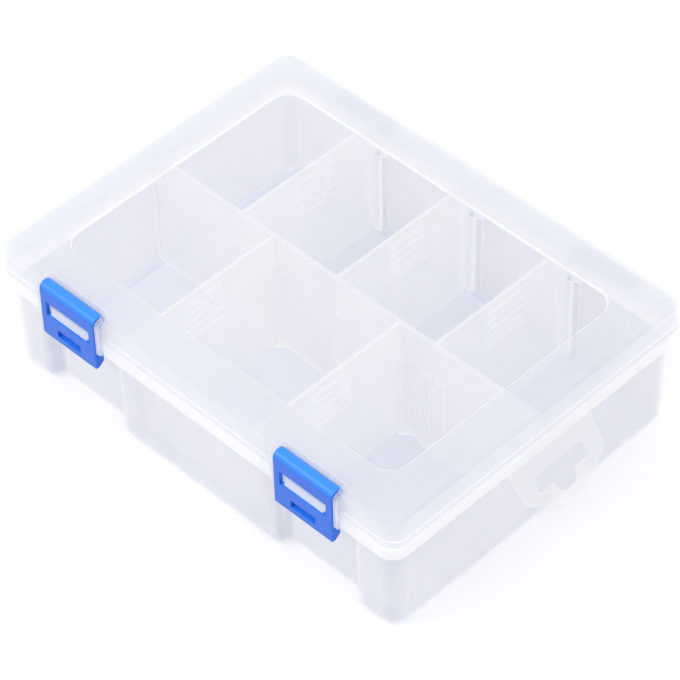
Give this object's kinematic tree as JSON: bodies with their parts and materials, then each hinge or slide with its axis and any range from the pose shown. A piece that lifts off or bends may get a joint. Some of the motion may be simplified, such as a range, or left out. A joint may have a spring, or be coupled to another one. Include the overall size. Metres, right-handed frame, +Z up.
{
  "type": "small parts organizer box",
  "caption": "Flat clear box with a hinged lid, snap latches, lift-out dividers beside a fixed long wall, and a folding tab to hang it by.",
  "frame": {"origin": "middle of the tray's flat underside, midway between its end walls and between its long walls", "axes": "+X along the long side, towards the hanging tab; +Y from the latches to the hinge; +Z up"},
  "size_m": [0.2188, 0.161, 0.06],
  "materials": {
    "pp_clear": "moulded, translucent",
    "pp_blue": "moulded"
  },
  "bodies": {
    "tray": {"tray": "pp_clear", "back_divider_left": "pp_clear", "back_divider_middle": "pp_clear", "back_divider_right": "pp_clear", "front_divider_left": "pp_clear", "front_divider_right": "pp_clear"},
    "lid": {"lid": "pp_clear"},
    "front_latch_left": {"front_latch_left": "pp_blue"},
    "front_latch_right": {"front_latch_right": "pp_blue"},
    "hang_tab": {"hang_tab": "pp_clear"}
  },
  "joints": [
    {"name": "lid_hinge", "type": "hinge", "parent": "tray", "child": "lid", "pos_m": [0, 0.0797, 0.0471], "axis": [-1, 0, 0], "range_deg": [0, 180]},
    {"name": "latch_left_hinge", "type": "hinge", "parent": "lid", "child": "front_latch_left", "pos_m": [-0.0605, -0.0755, 0.0566], "axis": [-1, 0, 0], "range_deg": [0, 120]},
    {"name": "latch_right_hinge", "type": "hinge", "parent": "lid", "child": "front_latch_right", "pos_m": [0.0605, -0.0755, 0.0566], "axis": [-1, 0, 0], "range_deg": [0, 120]},
    {"name": "hang_tab_hinge", "type": "hinge", "parent": "tray", "child": "hang_tab", "pos_m": [0.1019, 0.0033, 0.04075], "axis": [0, -1, 0], "range_deg": [-38, 52], "stiffness_Nm_per_rad": 0.005}
  ]
}
